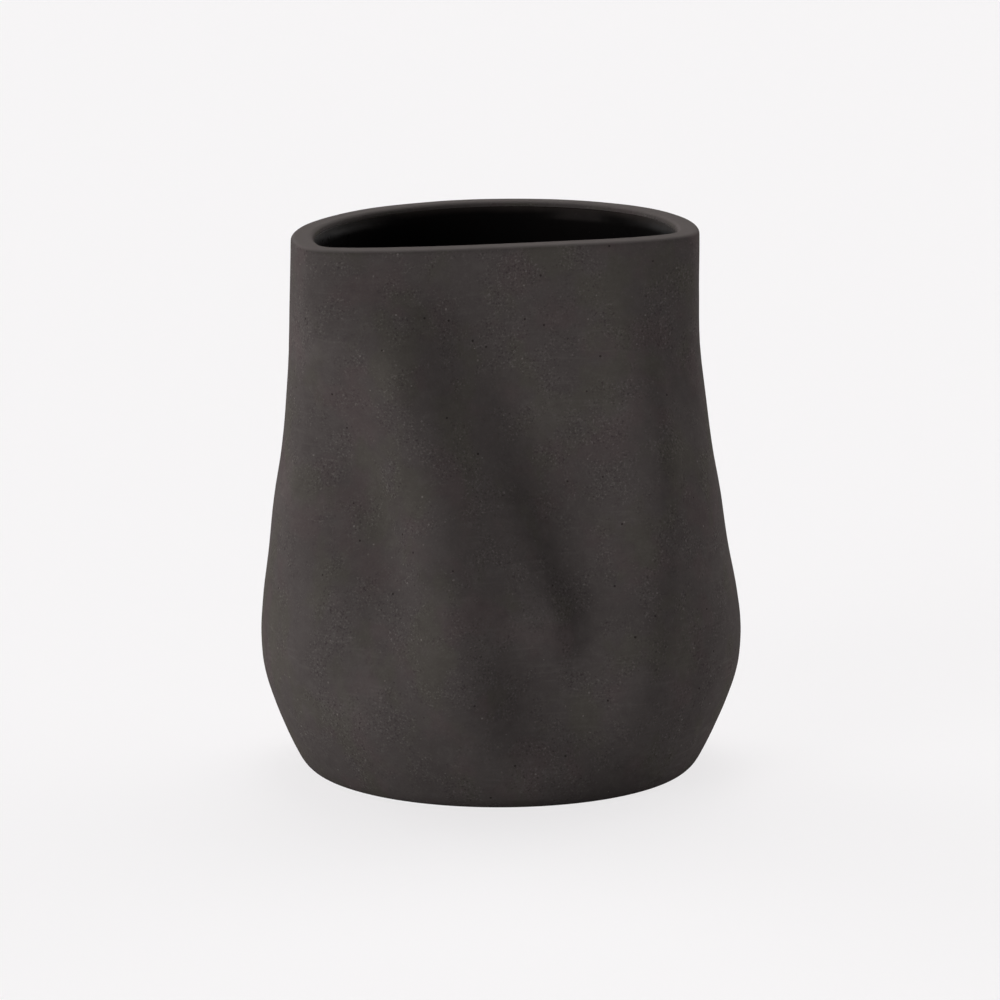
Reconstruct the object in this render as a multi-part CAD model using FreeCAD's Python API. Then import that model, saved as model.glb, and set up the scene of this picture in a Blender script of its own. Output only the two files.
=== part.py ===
import FreeCAD, Part
import math
import os

# An empty candle jar: a one-piece slip-cast stoneware vessel with a glaze fused to its inside.
# The vessel is a round-footed bag shape whose upper half is pressed flat in front and creased
# with soft slanting folds. Lengths are in mm. +Z is up, the front faces -Y, and the origin is
# under the middle of the vessel on the surface it stands on. An azimuth is the angle around
# the vessel, in degrees from the front, positive towards +X.

# Driving dimensions
HEIGHT = 103.0
WALL = 4.4
FLOOR = 6.0
GLAZE = 0.4

# Foot
HEEL_RISE = 2.5
HEEL_INSET = 1.6
FOOT_RING_WIDTH = 6.0
RECESS_DEPTH = 1.5
RECESS_DRAFT = 1.5

# Lip: small roundings on both sides of a flat top
LIP_OUTER_RADIUS = 0.9
LIP_INNER_RADIUS = 1.0

# Inside: the glaze thins out to nothing over this height, below the lip
INSIDE_CORNER = 9.0
GLAZE_TAPER = 2.5

# The middle of the foot, from the middle of the whole vessel
FOOT_X = 0.0
FOOT_Y = -0.7

# Side profile: (height, half width)
HALF_WIDTHS = [(-6, 34.6), (0, 36.8), (4, 38.9), (9, 41.2), (15, 43.5), (20, 44.9), (26, 45.3),
               (33, 44.7), (42, 43.3), (52, 42.0), (62, 40.3), (72, 39.2), (82, 38.3), (92, 38.1),
               (103, 38.0)]

# The sections drift sideways and forward on their way up: (height, distance from the foot's middle)
DRIFT_X = [(0, -0.1), (26, 0.1), (45, -0.4), (65, -0.7), (85, -1.1), (103, -0.9)]
DRIFT_FORWARD = [(0, 0.0), (26, 0.0), (60, 4.6), (103, 7.4)]

# The sections turn from round to oval: (height, short axis over long axis)
OVAL_RATIOS = [(0, 1.0), (26, 1.0), (103, 0.90)]
OVAL_TURN = 39.0

# The press that flattens the front: (height, its distance from the foot's middle)
PRESS_DISTANCES = [(0, 75.0), (15, 46.3), (30, 44.2), (60, 33.7), (80, 26.4), (103, 24.3)]
PRESS_AZIMUTH = 12.5
PRESS_SOFTNESS = 9.3

# Folds: the line each one follows as (height, azimuth, relief), relief being how far it stands out
# of the skin or, below zero, sinks into it, and its half widths on the left and on the right.
FOLDS = [
    {"name": "long valley", "left": 17.5, "right": 21.5,
     "line": [(98, -8, 0), (84, 4.5, -1.5), (70, 12.5, -3.1), (55, 26, -3.0), (42, 22, -3.7),
              (30, 16, -4.2), (14, 9, -2.1), (5, 14, 0)]},
    {"name": "main ridge", "left": 9.5, "right": 8,
     "line": [(98, -34.5, 0), (82, -34, 6.6), (64, -26, 2.2), (46, -12.5, 3.8), (28, -10, 5.5),
              (14, -6, 2.6), (4, -4, 0)]},
    {"name": "spur", "left": 13.5, "right": 7.5,
     "line": [(66, -2, 0), (50, 7.5, 2.2), (34, 14.3, 4.2), (18, 13, 0)]},
    {"name": "left dent", "left": 10.5, "right": 14.5,
     "line": [(90, -38, 0), (72, -52.5, -4.0), (55, -43.5, -9.2), (35, -43.5, -4.4), (15, -34.5, 0)]},
    {"name": "left crease", "left": 5.5, "right": 7.5,
     "line": [(70, -39, 0), (60, -36.5, 2.6), (50, -28, 1.6), (40, -16.5, 0.8), (28, -14.5, 0)]},
    {"name": "left swelling", "left": 8, "right": 8,
     "line": [(62, -44, 0), (38, -46, 4.2), (15, -51.5, 0)]},
    {"name": "right corner", "left": 7.5, "right": 8,
     "line": [(108, 65.5, 0), (88, 64, 2.6), (70, 59, 4.7), (45, 48.5, 3.4), (25, 39, 3.7),
              (6, 36, 0)]},
]
FOLD_RADIUS = 42.0

# How much of a fold shows inside: (height, share)
INSIDE_FOLD_SHARES = [(6, 0.2), (30, 0.85), (103, 1.0)]

# Control grid
COLUMNS = 120
WALL_ROWS = 40
HEEL_ROWS = 4
LIP_ROWS = 4
CORNER_ROWS = 8
DEGREE = 3

# The press no longer reaches skin that it sees closer to edge-on than this (cosine)
EDGE_ON = 0.02

# Edges within this distance of a plane lie in it
IN_PLANE = 1e-4


def through(stations, place):
    """Value at a place on the smooth curve through (place, value) stations, level at both ends."""
    points = sorted(stations)
    if place <= points[0][0]:
        return points[0][1]
    if place >= points[-1][0]:
        return points[-1][1]
    slopes = [0.0]
    for before, here, after in zip(points, points[1:], points[2:]):
        rise_in = (here[1] - before[1]) / (here[0] - before[0])
        rise_out = (after[1] - here[1]) / (after[0] - here[0])
        level = rise_in * rise_out <= 0.0
        slopes.append(0.0 if level else 2.0 * rise_in * rise_out / (rise_in + rise_out))
    slopes.append(0.0)
    k = max(i for i, point in enumerate(points[:-1]) if point[0] <= place)
    span = points[k + 1][0] - points[k][0]
    t = (place - points[k][0]) / span
    share = t * t * (3.0 - 2.0 * t)
    leaving = t * (1.0 - t) ** 2 * span * slopes[k]
    arriving = t * t * (t - 1.0) * span * slopes[k + 1]
    return points[k][1] * (1.0 - share) + points[k + 1][1] * share + leaving + arriving


def fold_relief(azimuth, height):
    """How far all the folds together move the skin outwards at this place."""
    relief = 0.0
    for fold in FOLDS:
        crest = through([(row[0], row[1]) for row in fold["line"]], height)
        depth = through([(row[0], row[2]) for row in fold["line"]], height)
        aside = math.radians((azimuth - crest + 180.0) % 360.0 - 180.0) * FOLD_RADIUS
        half_width = fold["left"] if aside < 0.0 else fold["right"]
        relief += depth * math.exp(-(aside / half_width) ** 2)
    return relief


def pressed_radius(azimuth, height):
    """Distance from the section's middle to the unfolded skin: an oval pressed flat in front."""
    half_width = through(HALF_WIDTHS, height)
    ratio = through(OVAL_RATIOS, height)
    turn = math.radians(OVAL_TURN)
    long_half = half_width / math.hypot(math.cos(turn), ratio * math.sin(turn))
    from_long = math.radians(azimuth) - turn
    oval = long_half / math.hypot(math.sin(from_long), math.cos(from_long) / ratio)
    press = math.radians(PRESS_AZIMUTH)
    facing = math.cos(math.radians(azimuth) - press)
    if facing <= EDGE_ON:
        return oval
    drift_x = through(DRIFT_X, height)
    drift_forward = through(DRIFT_FORWARD, height)
    towards = drift_x * math.sin(press) + drift_forward * math.cos(press)
    flat = (through(PRESS_DISTANCES, height) - towards) / facing
    nearer = min(oval, flat)
    spread = math.exp((nearer - oval) / PRESS_SOFTNESS) + math.exp((nearer - flat) / PRESS_SOFTNESS)
    return nearer - PRESS_SOFTNESS * math.log(spread)


def skin_ring(height, fold_share):
    """The outer skin's section at one height, as a closed ring of (x, y)."""
    middle_x = FOOT_X + through(DRIFT_X, height)
    middle_y = FOOT_Y - through(DRIFT_FORWARD, height)
    ring = []
    for column in range(COLUMNS):
        azimuth = 360.0 * column / COLUMNS - 180.0
        radius = pressed_radius(azimuth, height) + fold_share * fold_relief(azimuth, height)
        angle = math.radians(azimuth)
        ring.append((middle_x + radius * math.sin(angle), middle_y - radius * math.cos(angle)))
    return ring


def inset_ring(height, inset, fold_share=1.0):
    """A ring of control points, moved level into the wall by the inset."""
    ring = skin_ring(height, fold_share)
    points = []
    for column, (x, y) in enumerate(ring):
        before = ring[column - 1]
        after = ring[(column + 1) % COLUMNS]
        run_x = after[0] - before[0]
        run_y = after[1] - before[1]
        length = math.hypot(run_x, run_y)
        points.append(FreeCAD.Vector(x - inset * run_y / length, y + inset * run_x / length, height))
    return points


def skin_face(rings):
    """A smooth closed band through rings of control points, starting and ending on its end rings."""
    rows = len(rings)
    degree = min(DEGREE, rows - 1)
    spans = rows - degree
    surface = Part.BSplineSurface()
    surface.buildFromPolesMultsKnots(
        [[rings[row][column] for row in range(rows)] for column in range(COLUMNS)],
        [1] * (COLUMNS + 1),
        [degree + 1] + [1] * (spans - 1) + [degree + 1],
        [float(k) for k in range(COLUMNS + 1)],
        [float(k) for k in range(spans + 1)],
        True, False, DEGREE, degree)
    return surface.toShape()


def flat_cap(face, height):
    """A flat face that closes the end of a band at this height."""
    ends = []
    for edge in face.Edges:
        box = edge.BoundBox
        if abs(box.ZMin - height) < IN_PLANE and abs(box.ZMax - height) < IN_PLANE:
            ends.append(edge)
    return Part.Face(Part.Wire(ends))


def closed_solid(faces):
    """The solid inside faces that meet at their edges."""
    shell = Part.makeCompound(faces)
    shell.sewShape()
    solid = Part.Solid(shell.Shells[0])
    if solid.Volume < 0.0:
        solid.reverse()
    return solid


def spread(first, last, count):
    """Evenly spaced values between two ends, leaving the ends out."""
    return [first + (last - first) * k / (count + 1) for k in range(1, count + 1)]


def lip_profile():
    """(inset, height) pairs from the outside, over the lip, to the inside."""
    flat_end = WALL - LIP_INNER_RADIUS
    outer_arc = []
    inner_arc = []
    for k in range(LIP_ROWS + 1):
        angle = math.pi / 2.0 * k / LIP_ROWS
        outer_arc.append((LIP_OUTER_RADIUS * (1.0 - math.cos(angle)),
                          HEIGHT - LIP_OUTER_RADIUS * (1.0 - math.sin(angle))))
        inner_arc.append((flat_end + LIP_INNER_RADIUS * math.sin(angle),
                          HEIGHT - LIP_INNER_RADIUS * (1.0 - math.cos(angle))))
    middle = (LIP_OUTER_RADIUS + flat_end) / 2.0
    return outer_arc + [(middle, HEIGHT)] + inner_arc


def outer_rings():
    """Rings from the heel, up the outside and over the lip to the glaze line."""
    rings = []
    for k in range(HEEL_ROWS + 1):
        angle = math.pi / 2.0 * k / HEEL_ROWS
        height = HEEL_RISE * (1.0 - math.cos(angle))
        rings.append(inset_ring(height, HEEL_INSET * (1.0 - math.sin(angle))))
    for height in spread(HEEL_RISE, HEIGHT - LIP_OUTER_RADIUS, WALL_ROWS):
        rings.append(inset_ring(height, 0.0))
    for inset, height in lip_profile():
        rings.append(inset_ring(height, inset))
    return rings


def inner_rings(depth):
    """Rings from the glaze line down to the floor, this far off the clay's inner face."""
    corner_centre = FLOOR + INSIDE_CORNER
    corner = INSIDE_CORNER - depth
    start = HEIGHT - LIP_INNER_RADIUS
    if depth > 0.0:
        start -= GLAZE_TAPER
    rings = [inset_ring(start, WALL + depth)]
    for height in spread(start, corner_centre, WALL_ROWS):
        rings.append(inset_ring(height, WALL + depth, through(INSIDE_FOLD_SHARES, height)))
    for k in range(CORNER_ROWS + 1):
        angle = math.pi / 2.0 * k / CORNER_ROWS
        height = corner_centre - corner * math.sin(angle)
        inset = WALL + INSIDE_CORNER - corner * math.cos(angle)
        rings.append(inset_ring(height, inset, through(INSIDE_FOLD_SHARES, height)))
    return rings


def foot_recess():
    """The shallow hollow under the floor, inside the foot ring."""
    mouth_radius = through(HALF_WIDTHS, 0.0) - HEEL_INSET - FOOT_RING_WIDTH
    below = FreeCAD.Vector(FOOT_X, FOOT_Y, -RECESS_DEPTH)
    return Part.makeCone(mouth_radius + RECESS_DRAFT, mouth_radius - RECESS_DRAFT,
                         2.0 * RECESS_DEPTH, below)


def stoneware_body():
    outside = skin_face(outer_rings())
    inside = skin_face(inner_rings(0.0))
    clay = closed_solid([outside, inside, flat_cap(outside, 0.0), flat_cap(inside, FLOOR)])
    return clay.cut(foot_recess())


def interior_glaze():
    clay_rings = inner_rings(0.0)
    glaze_rings = inner_rings(GLAZE)
    clay_side = skin_face(clay_rings)
    open_side = skin_face(glaze_rings)
    top_edge = skin_face([clay_rings[0], glaze_rings[0]])
    return closed_solid([clay_side, open_side, top_edge, flat_cap(clay_side, FLOOR),
                         flat_cap(open_side, FLOOR + GLAZE)])


NODES = {
    "stoneware_body": stoneware_body,
    "interior_glaze": interior_glaze,
}

os.makedirs("parts", exist_ok=True)
for name, make in NODES.items():
    make().exportStep("parts/" + name + ".step")
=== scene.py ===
import math

import bmesh
import bpy
import numpy as np
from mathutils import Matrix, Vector, noise
from mathutils.bvhtree import BVHTree


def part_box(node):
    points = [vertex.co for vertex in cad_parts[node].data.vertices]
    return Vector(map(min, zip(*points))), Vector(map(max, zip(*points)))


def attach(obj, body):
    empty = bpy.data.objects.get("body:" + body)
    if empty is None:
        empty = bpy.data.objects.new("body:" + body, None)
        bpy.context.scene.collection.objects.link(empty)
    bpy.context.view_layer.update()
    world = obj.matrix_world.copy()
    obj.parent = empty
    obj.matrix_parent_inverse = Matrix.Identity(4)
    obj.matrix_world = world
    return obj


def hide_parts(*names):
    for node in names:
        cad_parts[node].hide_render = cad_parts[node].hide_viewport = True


# An empty stoneware candle jar on a pale floor, in metres. The clay and the glaze are rebuilt as
# even quad meshes: rays cast at the CAD solids give the points, which then get the slight
# unevenness of a slip-cast and hand-sanded pot. +Z is up and the front faces -Y.

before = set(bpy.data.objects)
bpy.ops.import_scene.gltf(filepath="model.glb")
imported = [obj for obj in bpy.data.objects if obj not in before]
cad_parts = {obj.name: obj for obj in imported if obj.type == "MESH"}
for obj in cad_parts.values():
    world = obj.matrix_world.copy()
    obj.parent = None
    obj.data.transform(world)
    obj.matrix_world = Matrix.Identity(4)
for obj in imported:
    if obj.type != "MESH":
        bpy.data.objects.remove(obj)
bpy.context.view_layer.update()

MM = 0.001
UP = Vector((0.0, 0.0, 1.0))
STAND_OFF = 120.0 * MM
RAY_LENGTH = 300.0 * MM
IN_PLANE = 0.01 * MM

# Mesh resolution
COLUMNS = 480
ROW_STEP = 0.8 * MM
HIDDEN_ROW_STEP = 3.0 * MM
LIP_ROWS = 44
HEEL_ROWS = 12
CORNER_ROWS = 30
CORNER_CROWDING = 1.6
EDGE_ROWS = 10

# Heights where one kind of row gives way to the next
LIP_DROP = 2.4 * MM
HEEL_RISE = 3.2 * MM
HEEL_DEPTH = 3.0 * MM
CORNER_RISE = 9.0 * MM

# Softened edges of the foot ring's inside, and the strip where the glaze thins out to nothing
FOOT_EDGE_RADIUS = 0.5 * MM
GLAZE_FEATHER = 2.6 * MM
GLAZE_CALM = 8.0 * MM

# Unevenness: how deep each kind of dip sinks into the solid at most, and how wide it is. Over the
# lip, from outside at 0 to inside at 1, it dies away between these two places.
CLAY_DIPS = [(0.16 * MM, 17.0 * MM), (0.04 * MM, 5.0 * MM)]
GLAZE_DIPS = [(0.09 * MM, 12.0 * MM), (0.03 * MM, 4.0 * MM)]
LIP_FADE = (0.5, 0.8)

# Where rings of points lie on the underside, as shares of the ceiling's radius and of the flat ring
CEILING_RINGS = (0.2, 0.4, 0.6, 0.8, 0.95)
FOOT_RINGS = (0.35, 0.7)
EDGE_ARC_POINTS = 5


# ---------------------------------------------------------------- rays at the CAD solids

def node_points(node):
    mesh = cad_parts[node].data
    flat = np.empty(len(mesh.vertices) * 3)
    mesh.vertices.foreach_get("co", flat)
    return flat.reshape(-1, 3)


def surface_tree(node):
    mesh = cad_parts[node].data
    points = [vertex.co.copy() for vertex in mesh.vertices]
    return BVHTree.FromPolygons(points, [list(face.vertices) for face in mesh.polygons])


def plan_middle(points, low, high):
    """Middle, in plan, of the points between two heights."""
    band = points[(points[:, 2] >= low) & (points[:, 2] <= high)]
    middle = (band.min(0) + band.max(0)) / 2.0
    return Vector((middle[0], middle[1], 0.0))


clay_tree = surface_tree("stoneware_body")
glaze_tree = surface_tree("interior_glaze")
clay_points = node_points("stoneware_body")
clay_low, clay_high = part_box("stoneware_body")
glaze_low, glaze_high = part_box("interior_glaze")
foot_middle = plan_middle(clay_points, clay_low.z, clay_low.z + IN_PLANE)
mouth_middle = plan_middle(node_points("interior_glaze"), glaze_high.z - MM, glaze_high.z)
lip_height = clay_high.z - LIP_DROP
corner_height = glaze_low.z + CORNER_RISE


def outward(column):
    angle = 2.0 * math.pi * column / COLUMNS
    return Vector((math.sin(angle), math.cos(angle), 0.0))


def axis_at(height):
    """A point well inside the jar: level rays leave from it to meet the inside."""
    share = min(max(height / clay_high.z, 0.0), 1.0)
    plan = foot_middle.lerp(mouth_middle, share)
    return Vector((plan.x, plan.y, height))


def cast(tree, start, direction):
    """Where a ray first meets a solid, and the surface's normal on the side the ray came from."""
    point, normal = tree.ray_cast(start, direction, RAY_LENGTH)[:2]
    if point is None:
        raise RuntimeError("a ray missed the solid: %s %s" % (start, direction))
    if normal.dot(direction) > 0.0:
        normal = -normal
    return point, normal


def aimed_at(tree, target, direction):
    """Where a ray that comes in along a direction, towards the target, first meets the solid."""
    return cast(tree, target + direction * STAND_OFF, -direction)


# ---------------------------------------------------------------- rows of (point, normal)

def wall_row(height):
    return [aimed_at(clay_tree, axis_at(height), outward(column)) for column in range(COLUMNS)]


def inner_row(tree, height):
    return [cast(tree, axis_at(height), outward(column)) for column in range(COLUMNS)]


def heel_row(angle):
    """Round the heel, seen from a line inside it: level at angle 0 and straight down at 90 degrees."""
    row = []
    for column in range(COLUMNS):
        out = outward(column)
        wall = aimed_at(clay_tree, axis_at(HEEL_RISE), out)[0]
        target = wall - out * HEEL_DEPTH
        row.append(aimed_at(clay_tree, target, out * math.cos(angle) - UP * math.sin(angle)))
    return row


def lip_row(angle):
    """Over the lip, seen from a line inside it: outside at angle 0, the top at 90 degrees."""
    row = []
    for column in range(COLUMNS):
        out = outward(column)
        outside = aimed_at(clay_tree, axis_at(lip_height), out)[0]
        inside = cast(clay_tree, axis_at(lip_height), out)[0]
        direction = out * math.cos(angle) + UP * math.sin(angle)
        point, normal = cast(clay_tree, (outside + inside) / 2.0, direction)
        row.append((point, -normal))
    return row


def corner_row(tree, angle):
    """From the inside wall down and across the floor, seen from the axis above the floor."""
    start = axis_at(corner_height)
    return [cast(tree, start, outward(column) * math.cos(angle) - UP * math.sin(angle))
            for column in range(COLUMNS)]


def corner_angles():
    """Angles from just under level to just short of straight down, closest together at the wall."""
    shares = [k / CORNER_ROWS for k in range(1, CORNER_ROWS)]
    return [math.pi / 2.0 * share ** CORNER_CROWDING for share in shares]


def heights(first, last, step):
    """Heights from first to last, both kept, about a step apart."""
    return np.linspace(first, last, max(2, int(round(abs(last - first) / step)) + 1))


def points_of(row):
    return [point for point, normal in row]


def uneven(row, dips, share=1.0):
    """The row's points, sunk a little and unevenly into the solid."""
    moved = []
    for point, normal in row:
        depth = 0.0
        for deepest, width in dips:
            wave = 0.5 + 0.5 * noise.noise(point / width)
            depth += deepest * min(max(wave, 0.0), 1.0)
        moved.append(point - normal * depth * share)
    return moved


def fade(value, start, end):
    """From 1 at the start to 0 at the end, smoothly."""
    t = min(max((value - start) / (end - start), 0.0), 1.0)
    return 1.0 - t * t * (3.0 - 2.0 * t)


# ---------------------------------------------------------------- pieces

def closed_piece(name, rows, node, material):
    """A closed mesh of quads through rows of points, with a fan at each end, that rides the frame."""
    count = len(rows[0])
    vertices = [tuple(point) for row in rows for point in row]
    faces = []
    for start in range(0, (len(rows) - 1) * count, count):
        for c in range(count):
            d = (c + 1) % count
            faces.append((start + c, start + d, start + count + d, start + count + c))
    for start in (0, (len(rows) - 1) * count):
        hub = len(vertices)
        vertices.append(tuple(np.mean(vertices[start:start + count], axis=0)))
        faces += [(start + c, start + (c + 1) % count, hub) for c in range(count)]
    mesh = bpy.data.meshes.new(name)
    mesh.from_pydata(vertices, [], faces)
    work = bmesh.new()
    work.from_mesh(mesh)
    bmesh.ops.recalc_face_normals(work, faces=work.faces)
    work.to_mesh(mesh)
    work.free()
    mesh.shade_smooth()
    mesh.materials.append(material)
    piece = bpy.data.objects.new(name, mesh)
    bpy.context.scene.collection.objects.link(piece)
    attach(piece, "root")
    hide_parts(node)
    return piece


def arc_profile(centre, radius, start, end, count):
    """(distance from the middle, height) pairs on an arc, angles in degrees from straight out."""
    steps = np.radians(np.linspace(start, end, count))
    return [(centre[0] + radius * math.cos(a), centre[1] + radius * math.sin(a)) for a in steps]


def underside_rows():
    """The recess under the floor and the flat foot ring around it, from the middle outwards."""
    ceiling = cast(clay_tree, foot_middle - UP * STAND_OFF, UP)[0]
    reach = np.hypot(clay_points[:, 0] - foot_middle.x, clay_points[:, 1] - foot_middle.y)
    on_ring = clay_points[:, 2] < clay_low.z + IN_PLANE
    on_ceiling = np.abs(clay_points[:, 2] - ceiling.z) < IN_PLANE
    ring_inside = reach[on_ring].min()
    ring_outside = reach[on_ring].max()
    ceiling_edge = reach[on_ceiling & (reach < ring_inside)].max()
    slant = math.degrees(math.atan2(ceiling.z - clay_low.z, ring_inside - ceiling_edge))
    setback = FOOT_EDGE_RADIUS * math.tan(math.radians(slant) / 2.0)
    flat_ceiling = ceiling_edge - setback
    flat_ring = ring_inside + setback
    profile = [(share * flat_ceiling, ceiling.z) for share in CEILING_RINGS]
    profile += arc_profile((flat_ceiling, ceiling.z - FOOT_EDGE_RADIUS), FOOT_EDGE_RADIUS,
                           90.0, 90.0 - slant, EDGE_ARC_POINTS)
    profile += arc_profile((flat_ring, clay_low.z + FOOT_EDGE_RADIUS), FOOT_EDGE_RADIUS,
                           270.0 - slant, 270.0, EDGE_ARC_POINTS)
    profile += [(flat_ring + share * (ring_outside - flat_ring), clay_low.z) for share in FOOT_RINGS]
    return [[foot_middle + outward(column) * radius + UP * height for column in range(COLUMNS)]
            for radius, height in profile]


def stoneware_rows():
    rows = underside_rows()
    for k in range(HEEL_ROWS, 0, -1):
        share = fade(k / HEEL_ROWS, 0.0, 1.0)
        rows.append(uneven(heel_row(math.pi / 2.0 * k / HEEL_ROWS), CLAY_DIPS, share))
    for height in heights(HEEL_RISE, lip_height, ROW_STEP)[:-1]:
        rows.append(uneven(wall_row(height), CLAY_DIPS))
    for k in range(LIP_ROWS + 1):
        share = fade(k / LIP_ROWS, *LIP_FADE)
        rows.append(uneven(lip_row(math.pi * k / LIP_ROWS), CLAY_DIPS, share))
    for height in heights(lip_height, corner_height, HIDDEN_ROW_STEP)[1:]:
        rows.append(points_of(inner_row(clay_tree, height)))
    rows += [points_of(corner_row(clay_tree, angle)) for angle in corner_angles()]
    return rows


def glaze_rows():
    """Up the open side from the floor, thinning out to the glaze line, then down the clay side."""
    corner = [uneven(corner_row(glaze_tree, angle), GLAZE_DIPS) for angle in corner_angles()]
    open_top = glaze_high.z - GLAZE_FEATHER
    calm_from = open_top - GLAZE_CALM
    open_side = [uneven(inner_row(glaze_tree, height), GLAZE_DIPS, fade(height, calm_from, open_top))
                 for height in heights(corner_height, open_top, ROW_STEP)]
    clay_side = [points_of(inner_row(clay_tree, height))
                 for height in heights(glaze_high.z, corner_height, HIDDEN_ROW_STEP)]
    clay_below_edge = points_of(inner_row(clay_tree, open_top))
    edge = []
    for height in heights(open_top, glaze_high.z, GLAZE_FEATHER / EDGE_ROWS)[1:-1]:
        thickness = fade(height, open_top, glaze_high.z)
        clay_here = points_of(inner_row(clay_tree, height))
        edge.append([clay_here[c] + (open_side[-1][c] - clay_below_edge[c]) * thickness
                     for c in range(COLUMNS)])
    clay_corner = [points_of(corner_row(clay_tree, angle)) for angle in corner_angles()]
    return corner[::-1] + open_side + edge + clay_side + clay_corner


# ---------------------------------------------------------------- materials

class Nodes:
    """Short ways to add and join shader nodes in one material."""

    def __init__(self, name):
        self.material = bpy.data.materials.new(name)
        self.material.use_nodes = True
        self.tree = self.material.node_tree
        self.shader = self.tree.nodes["Principled BSDF"]
        self.place = self.add("ShaderNodeTexCoord").outputs["Object"]

    def add(self, kind, **settings):
        node = self.tree.nodes.new(kind)
        for key, value in settings.items():
            setattr(node, key, value)
        return node

    def join(self, source, target):
        self.tree.links.new(source, target)

    def feed(self, value, target):
        """Joins a socket, or sets a plain value."""
        if isinstance(value, bpy.types.NodeSocket):
            self.join(value, target)
        else:
            target.default_value = value

    def height(self):
        """Height above the floor, in metres."""
        node = self.add("ShaderNodeSeparateXYZ")
        self.join(self.place, node.inputs["Vector"])
        return node.outputs["Z"]

    def stretched(self, scale):
        """Object coordinates multiplied along each axis."""
        node = self.add("ShaderNodeMapping")
        node.inputs["Scale"].default_value = scale
        self.join(self.place, node.inputs["Vector"])
        return node.outputs["Vector"]

    def noise(self, size, detail=2.0, roughness=0.5, place=None):
        """Noise from 0 to 1 whose blobs are about this wide, in metres."""
        node = self.add("ShaderNodeTexNoise")
        node.inputs["Scale"].default_value = 1.0 / size
        node.inputs["Detail"].default_value = detail
        node.inputs["Roughness"].default_value = roughness
        self.join(place or self.place, node.inputs["Vector"])
        return node.outputs["Fac"]

    def cells(self, size):
        """Distance from scattered points about this far apart, in metres, and a colour per point."""
        node = self.add("ShaderNodeTexVoronoi")
        node.inputs["Scale"].default_value = 1.0 / size
        self.join(self.place, node.inputs["Vector"])
        return node.outputs["Distance"], node.outputs["Color"]

    def ramp(self, value, low, high, start=0.0, end=1.0):
        """A value moved smoothly from low..high to start..end, and kept within it."""
        node = self.add("ShaderNodeMapRange", interpolation_type="SMOOTHSTEP")
        self.join(value, node.inputs["Value"])
        for name, number in (("From Min", low), ("From Max", high), ("To Min", start), ("To Max", end)):
            node.inputs[name].default_value = number
        return node.outputs["Result"]

    def math(self, operation, first, second=0.0, third=0.0):
        node = self.add("ShaderNodeMath", operation=operation)
        for value, target in zip((first, second, third), node.inputs):
            self.feed(value, target)
        return node.outputs["Value"]

    def mix(self, share, first, second):
        """Two colours mixed: the first at share 0 and the second at share 1."""
        node = self.add("ShaderNodeMix", data_type="RGBA")
        self.feed(share, node.inputs["Factor"])
        for value, target in ((first, node.inputs["A"]), (second, node.inputs["B"])):
            self.feed(value, target)
        return node.outputs["Result"]

    def bump(self, height, distance, below=None):
        """A bumped normal; the height runs from 0 to 1 over a distance in metres."""
        node = self.add("ShaderNodeBump")
        node.inputs["Distance"].default_value = distance
        self.join(height, node.inputs["Height"])
        if below is not None:
            self.join(below, node.inputs["Normal"])
        return node.outputs["Normal"]


def colour(red, green, blue):
    return (red, green, blue, 1.0)


CLAY_COLOUR = colour(0.0616, 0.0540, 0.0523)
CLAY_WARM = colour(0.0648, 0.0533, 0.0525)
CLAY_OLIVE = colour(0.0610, 0.0552, 0.0492)
CLAY_PALE = colour(0.108, 0.096, 0.0925)
CLAY_DARK = colour(0.0320, 0.0276, 0.0266)
FLECK_COLOUR = colour(0.17, 0.155, 0.145)
# Painted shade: the near-black colour put inside the pinholes
PINHOLE_SHADE_COLOUR = colour(0.018, 0.015, 0.014)


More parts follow.
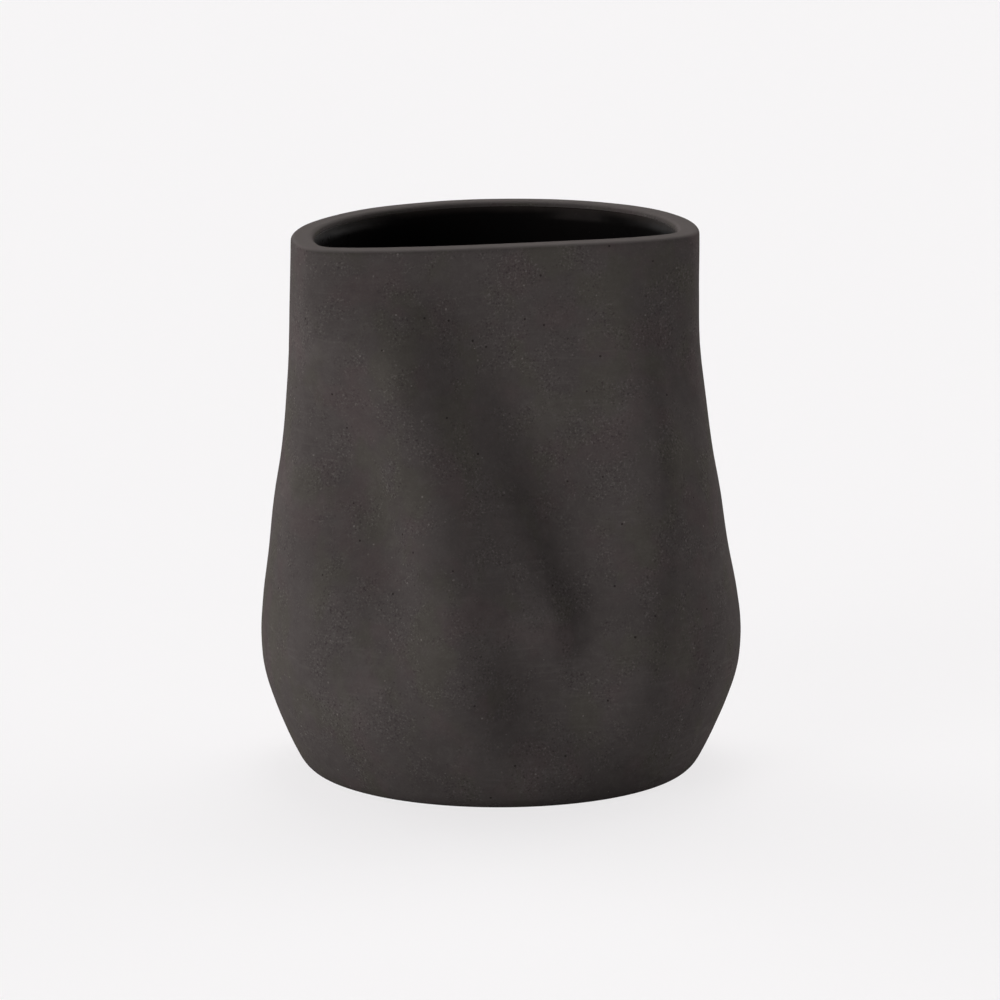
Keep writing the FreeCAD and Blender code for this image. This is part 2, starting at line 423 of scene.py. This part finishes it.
def stoneware():
    """Unglazed dark clay: sandy grit that comes and goes, a few flecks, pits darkened with painted
    shade, and a rubbed lip whose top carries a painted highlight.
    """
    n = Nodes("stoneware")

    # Slow drifts between warmer, olive, paler and darker clay
    warm = n.ramp(n.noise(10.0 * MM, 3.0), 0.50, 0.64)
    olive = n.ramp(n.noise(9.0 * MM, 3.0, place=n.stretched((1.0, 1.0, 0.8))), 0.50, 0.64)
    tint = n.mix(warm, CLAY_COLOUR, CLAY_WARM)
    tint = n.mix(olive, tint, CLAY_OLIVE)
    cloud = n.noise(22.0 * MM, 5.0, 0.6)
    tint = n.mix(n.ramp(cloud, 0.52, 0.75, 0.0, 0.24), tint, CLAY_PALE)
    tint = n.mix(n.ramp(cloud, 0.48, 0.25, 0.0, 0.30), tint, CLAY_DARK)

    # Grain all over, and sandy grit in patches
    gritty = n.ramp(n.noise(7.0 * MM, 5.0, 0.65), 0.45, 0.61, 0.15, 0.85)
    grain = n.noise(2.0 * MM, 3.0, 0.6)
    tint = n.mix(n.ramp(grain, 0.50, 0.72, 0.0, 0.12), tint, CLAY_PALE)
    tint = n.mix(n.ramp(grain, 0.50, 0.28, 0.0, 0.15), tint, CLAY_DARK)
    grit = n.noise(0.42 * MM, 2.0, 0.6)
    pale_grit = n.math("MULTIPLY", n.ramp(grit, 0.54, 0.74), gritty)
    dark_grit = n.math("MULTIPLY", n.ramp(grit, 0.46, 0.26), gritty)
    tint = n.mix(pale_grit, tint, CLAY_PALE)
    tint = n.mix(dark_grit, tint, CLAY_DARK)

    # Level streaks that a sponge left
    wipes = n.noise(1.0, 3.0, place=n.stretched((150.0, 150.0, 1500.0)))
    wiped = n.ramp(n.noise(24.0 * MM, 2.0), 0.45, 0.62)
    pale_wipe = n.math("MULTIPLY", n.ramp(wipes, 0.54, 0.72, 0.0, 0.16), wiped)
    tint = n.mix(pale_wipe, tint, CLAY_PALE)

    # Pale mineral flecks, and pinholes whose insides are darkened with painted shade
    fleck_distance, fleck_tone = n.cells(2.3 * MM)
    fleck_size = n.math("MULTIPLY_ADD", n.noise(0.5 * MM), 0.12, 0.02)
    fleck = n.math("LESS_THAN", fleck_distance, fleck_size)
    fleck = n.math("MULTIPLY", fleck, n.ramp(fleck_tone, 0.35, 0.9, 0.05, 0.55))
    tint = n.mix(fleck, tint, FLECK_COLOUR)
    # Painted shade: each pinhole's inside is darkened, and the same mask sinks it as relief below
    pinhole_and_shade = n.ramp(n.cells(4.0 * MM)[0], 0.065, 0.035, 0.0, 0.8)
    tint = n.mix(pinhole_and_shade, tint, PINHOLE_SHADE_COLOUR)

    # The lip: smoother where fingers and the sanding block rubbed it, and a painted highlight on its
    # top, where lighter colour stands in for the sheen the lamps put there
    height = n.height()
    rubbed = n.ramp(height, clay_high.z - 3.0 * MM, clay_high.z - 0.8 * MM)
    # Painted highlight: the top of the lip is mixed towards the pale clay colour to stand in for lamp
    # sheen
    painted_lip_highlight = n.ramp(height, clay_high.z - 0.6 * MM, clay_high.z - 0.1 * MM, 0.0, 0.85)
    tint = n.mix(painted_lip_highlight, tint, CLAY_PALE)
    n.join(tint, n.shader.inputs["Base Color"])
    rough = n.math("MULTIPLY_ADD", rubbed, -0.12, n.ramp(cloud, 0.3, 0.7, 0.74, 0.66))
    n.join(rough, n.shader.inputs["Roughness"])
    n.shader.inputs["Specular IOR Level"].default_value = 0.0

    # The same grain, grit, streaks and pinholes felt as relief
    relief = n.bump(grain, 0.045 * MM)
    relief = n.bump(n.math("MULTIPLY", n.ramp(grit, 0.30, 0.72), gritty), 0.024 * MM, relief)
    relief = n.bump(wipes, 0.010 * MM, relief)
    relief = n.bump(n.math("SUBTRACT", 1.0, pinhole_and_shade), 0.10 * MM, relief)
    n.join(relief, n.shader.inputs["Normal"])
    return n.material


GLAZE_COLOUR = colour(0.0045, 0.0040, 0.0040)
GLAZE_THIN_COLOUR = colour(0.026, 0.0215, 0.020)
GLAZE_SHEEN = colour(1.0, 0.86, 0.82)


def glaze():
    """Black glaze with a satin gloss: thin, brown and as dull as the clay along its top edge."""
    n = Nodes("glaze")
    drift = n.math("MULTIPLY_ADD", n.noise(6.0 * MM, 2.0), 1.0 * MM, n.height())
    thin = n.ramp(drift, glaze_high.z - 1.0 * MM, glaze_high.z + 0.9 * MM)
    speck = n.ramp(n.cells(2.2 * MM)[0], 0.07, 0.04, 0.0, 0.5)
    tint = n.mix(thin, GLAZE_COLOUR, GLAZE_THIN_COLOUR)
    n.join(n.mix(speck, tint, GLAZE_THIN_COLOUR), n.shader.inputs["Base Color"])
    rough = n.math("MULTIPLY_ADD", thin, 0.32, n.ramp(n.noise(5.0 * MM, 3.0), 0.3, 0.7, 0.27, 0.33))
    n.join(rough, n.shader.inputs["Roughness"])
    n.shader.inputs["Specular IOR Level"].default_value = 0.02
    n.shader.inputs["Specular Tint"].default_value = GLAZE_SHEEN
    relief = n.bump(n.noise(3.0 * MM, 1.0), 0.05 * MM)
    relief = n.bump(n.noise(0.8 * MM, 1.0), 0.006 * MM, relief)
    n.join(relief, n.shader.inputs["Normal"])
    return n.material


def paper(name, reflects, glows):
    """Matt off-white paper that also glows a little, as paper lit from below does."""
    n = Nodes(name)
    fibre = n.noise(0.8 * MM, 3.0, 0.6)
    darker = colour(*[value * reflects * (1.0 - PAPER_FIBRE) for value in PAPER_TINT])
    lighter = colour(*[value * reflects * (1.0 + PAPER_FIBRE) for value in PAPER_TINT])
    n.join(n.mix(fibre, darker, lighter), n.shader.inputs["Base Color"])
    n.shader.inputs["Roughness"].default_value = 0.9
    n.shader.inputs["Specular IOR Level"].default_value = 0.0
    n.shader.inputs["Emission Color"].default_value = colour(*PAPER_TINT)
    n.shader.inputs["Emission Strength"].default_value = glows
    return n.material


# ---------------------------------------------------------------- floor, lights and camera

# The floor and the backdrop that the camera sees, and a card under the floor that bounces light up
# at the jar: how much light each one reflects and gives off, and how far it lies below the foot
PAPER_TINT = (1.0, 0.985, 0.992)
PAPER_FIBRE = 0.015
FLOOR_HALF_SIDE = 6.0
FLOOR_REFLECTS = 0.16
FLOOR_GLOWS = 0.765
FLOOR_DROP = 0.02 * MM
CARD_REFLECTS = 0.87
CARD_DROP = 0.3 * MM
BACKDROP_RADIUS = 5.0
BACKDROP_GLOWS = 0.92

# Soft lights far off, as (azimuth from the front, positive towards +X, elevation, strength)
LIGHTS = [(-45.0, 10.0, 2.16), (-105.0, 10.0, 0.66), (-135.0, 10.0, 2.65), (-165.0, 60.0, 0.78),
          (165.0, 60.0, 1.07), (135.0, 10.0, 2.0), (105.0, 10.0, 0.8)]
LIGHT_WIDTH = math.radians(35.0)
WORLD_TINT = (1.0, 0.995, 0.998)
WORLD_STRENGTH = 0.02

CAMERA_AIM_HEIGHT = 50.45 * MM
CAMERA_DISTANCE = 1.35
CAMERA_ELEVATION = math.radians(12.2)
SENSOR_WIDTH = 36.0
FRAME_WIDTH = 187.8 * MM


def direction_of(azimuth, elevation):
    level = math.cos(elevation)
    return Vector((math.sin(azimuth) * level, -math.cos(azimuth) * level, math.sin(elevation)))


def stage_plane(name, height, material):
    side = FLOOR_HALF_SIDE
    plan = [(-side, -side), (side, -side), (side, side), (-side, side)]
    corners = [(x, y, height) for x, y in plan]
    mesh = bpy.data.meshes.new(name)
    mesh.from_pydata(corners, [], [(0, 1, 2, 3)])
    mesh.materials.append(material)
    plane = bpy.data.objects.new(name, mesh)
    bpy.context.scene.collection.objects.link(plane)
    return plane


def add_floor():
    """A floor for the camera alone, and under it the card that lights the jar from below."""
    floor = stage_plane("floor", -FLOOR_DROP, paper("floor_paper", FLOOR_REFLECTS, FLOOR_GLOWS))
    floor.visible_diffuse = False
    floor.visible_glossy = False
    floor.visible_shadow = False
    card = stage_plane("bounce_card", -CARD_DROP, paper("card_paper", CARD_REFLECTS, 0.0))
    card.visible_camera = False


def add_backdrop():
    """A pale dome all round, seen only by the camera, so that low views have no dark horizon."""
    mesh = bpy.data.meshes.new("backdrop")
    work = bmesh.new()
    bmesh.ops.create_uvsphere(work, u_segments=48, v_segments=24, radius=BACKDROP_RADIUS)
    work.to_mesh(mesh)
    work.free()
    mesh.materials.append(paper("backdrop_paper", 0.0, BACKDROP_GLOWS))
    backdrop = bpy.data.objects.new("backdrop", mesh)
    bpy.context.scene.collection.objects.link(backdrop)
    for kind in ("visible_diffuse", "visible_glossy", "visible_transmission", "visible_shadow"):
        setattr(backdrop, kind, False)


def add_lights():
    for number, (azimuth, elevation, strength) in enumerate(LIGHTS):
        light = bpy.data.lights.new("softbox_%d" % number, "SUN")
        light.energy = strength
        light.angle = LIGHT_WIDTH
        lamp = bpy.data.objects.new(light.name, light)
        bpy.context.scene.collection.objects.link(lamp)
        towards = direction_of(math.radians(azimuth), math.radians(elevation))
        lamp.rotation_euler = towards.to_track_quat("Z", "Y").to_euler()
        lamp.visible_camera = False
    world = bpy.data.worlds.new("studio")
    world.use_nodes = True
    background = world.node_tree.nodes["Background"]
    background.inputs["Color"].default_value = colour(*WORLD_TINT)
    background.inputs["Strength"].default_value = WORLD_STRENGTH
    bpy.context.scene.world = world


def add_camera():
    data = bpy.data.cameras.new("camera")
    data.sensor_width = SENSOR_WIDTH
    data.lens = SENSOR_WIDTH * CAMERA_DISTANCE / FRAME_WIDTH
    camera = bpy.data.objects.new("camera", data)
    bpy.context.scene.collection.objects.link(camera)
    aim = foot_middle + UP * CAMERA_AIM_HEIGHT
    back = direction_of(0.0, CAMERA_ELEVATION)
    camera.location = aim + back * CAMERA_DISTANCE
    camera.rotation_euler = back.to_track_quat("Z", "Y").to_euler()
    bpy.context.scene.camera = camera


closed_piece("stoneware_shell", stoneware_rows(), "stoneware_body", stoneware())
closed_piece("black_glaze", glaze_rows(), "interior_glaze", glaze())
add_floor()
add_backdrop()
add_lights()
add_camera()
bpy.context.scene.view_settings.view_transform = "Standard"
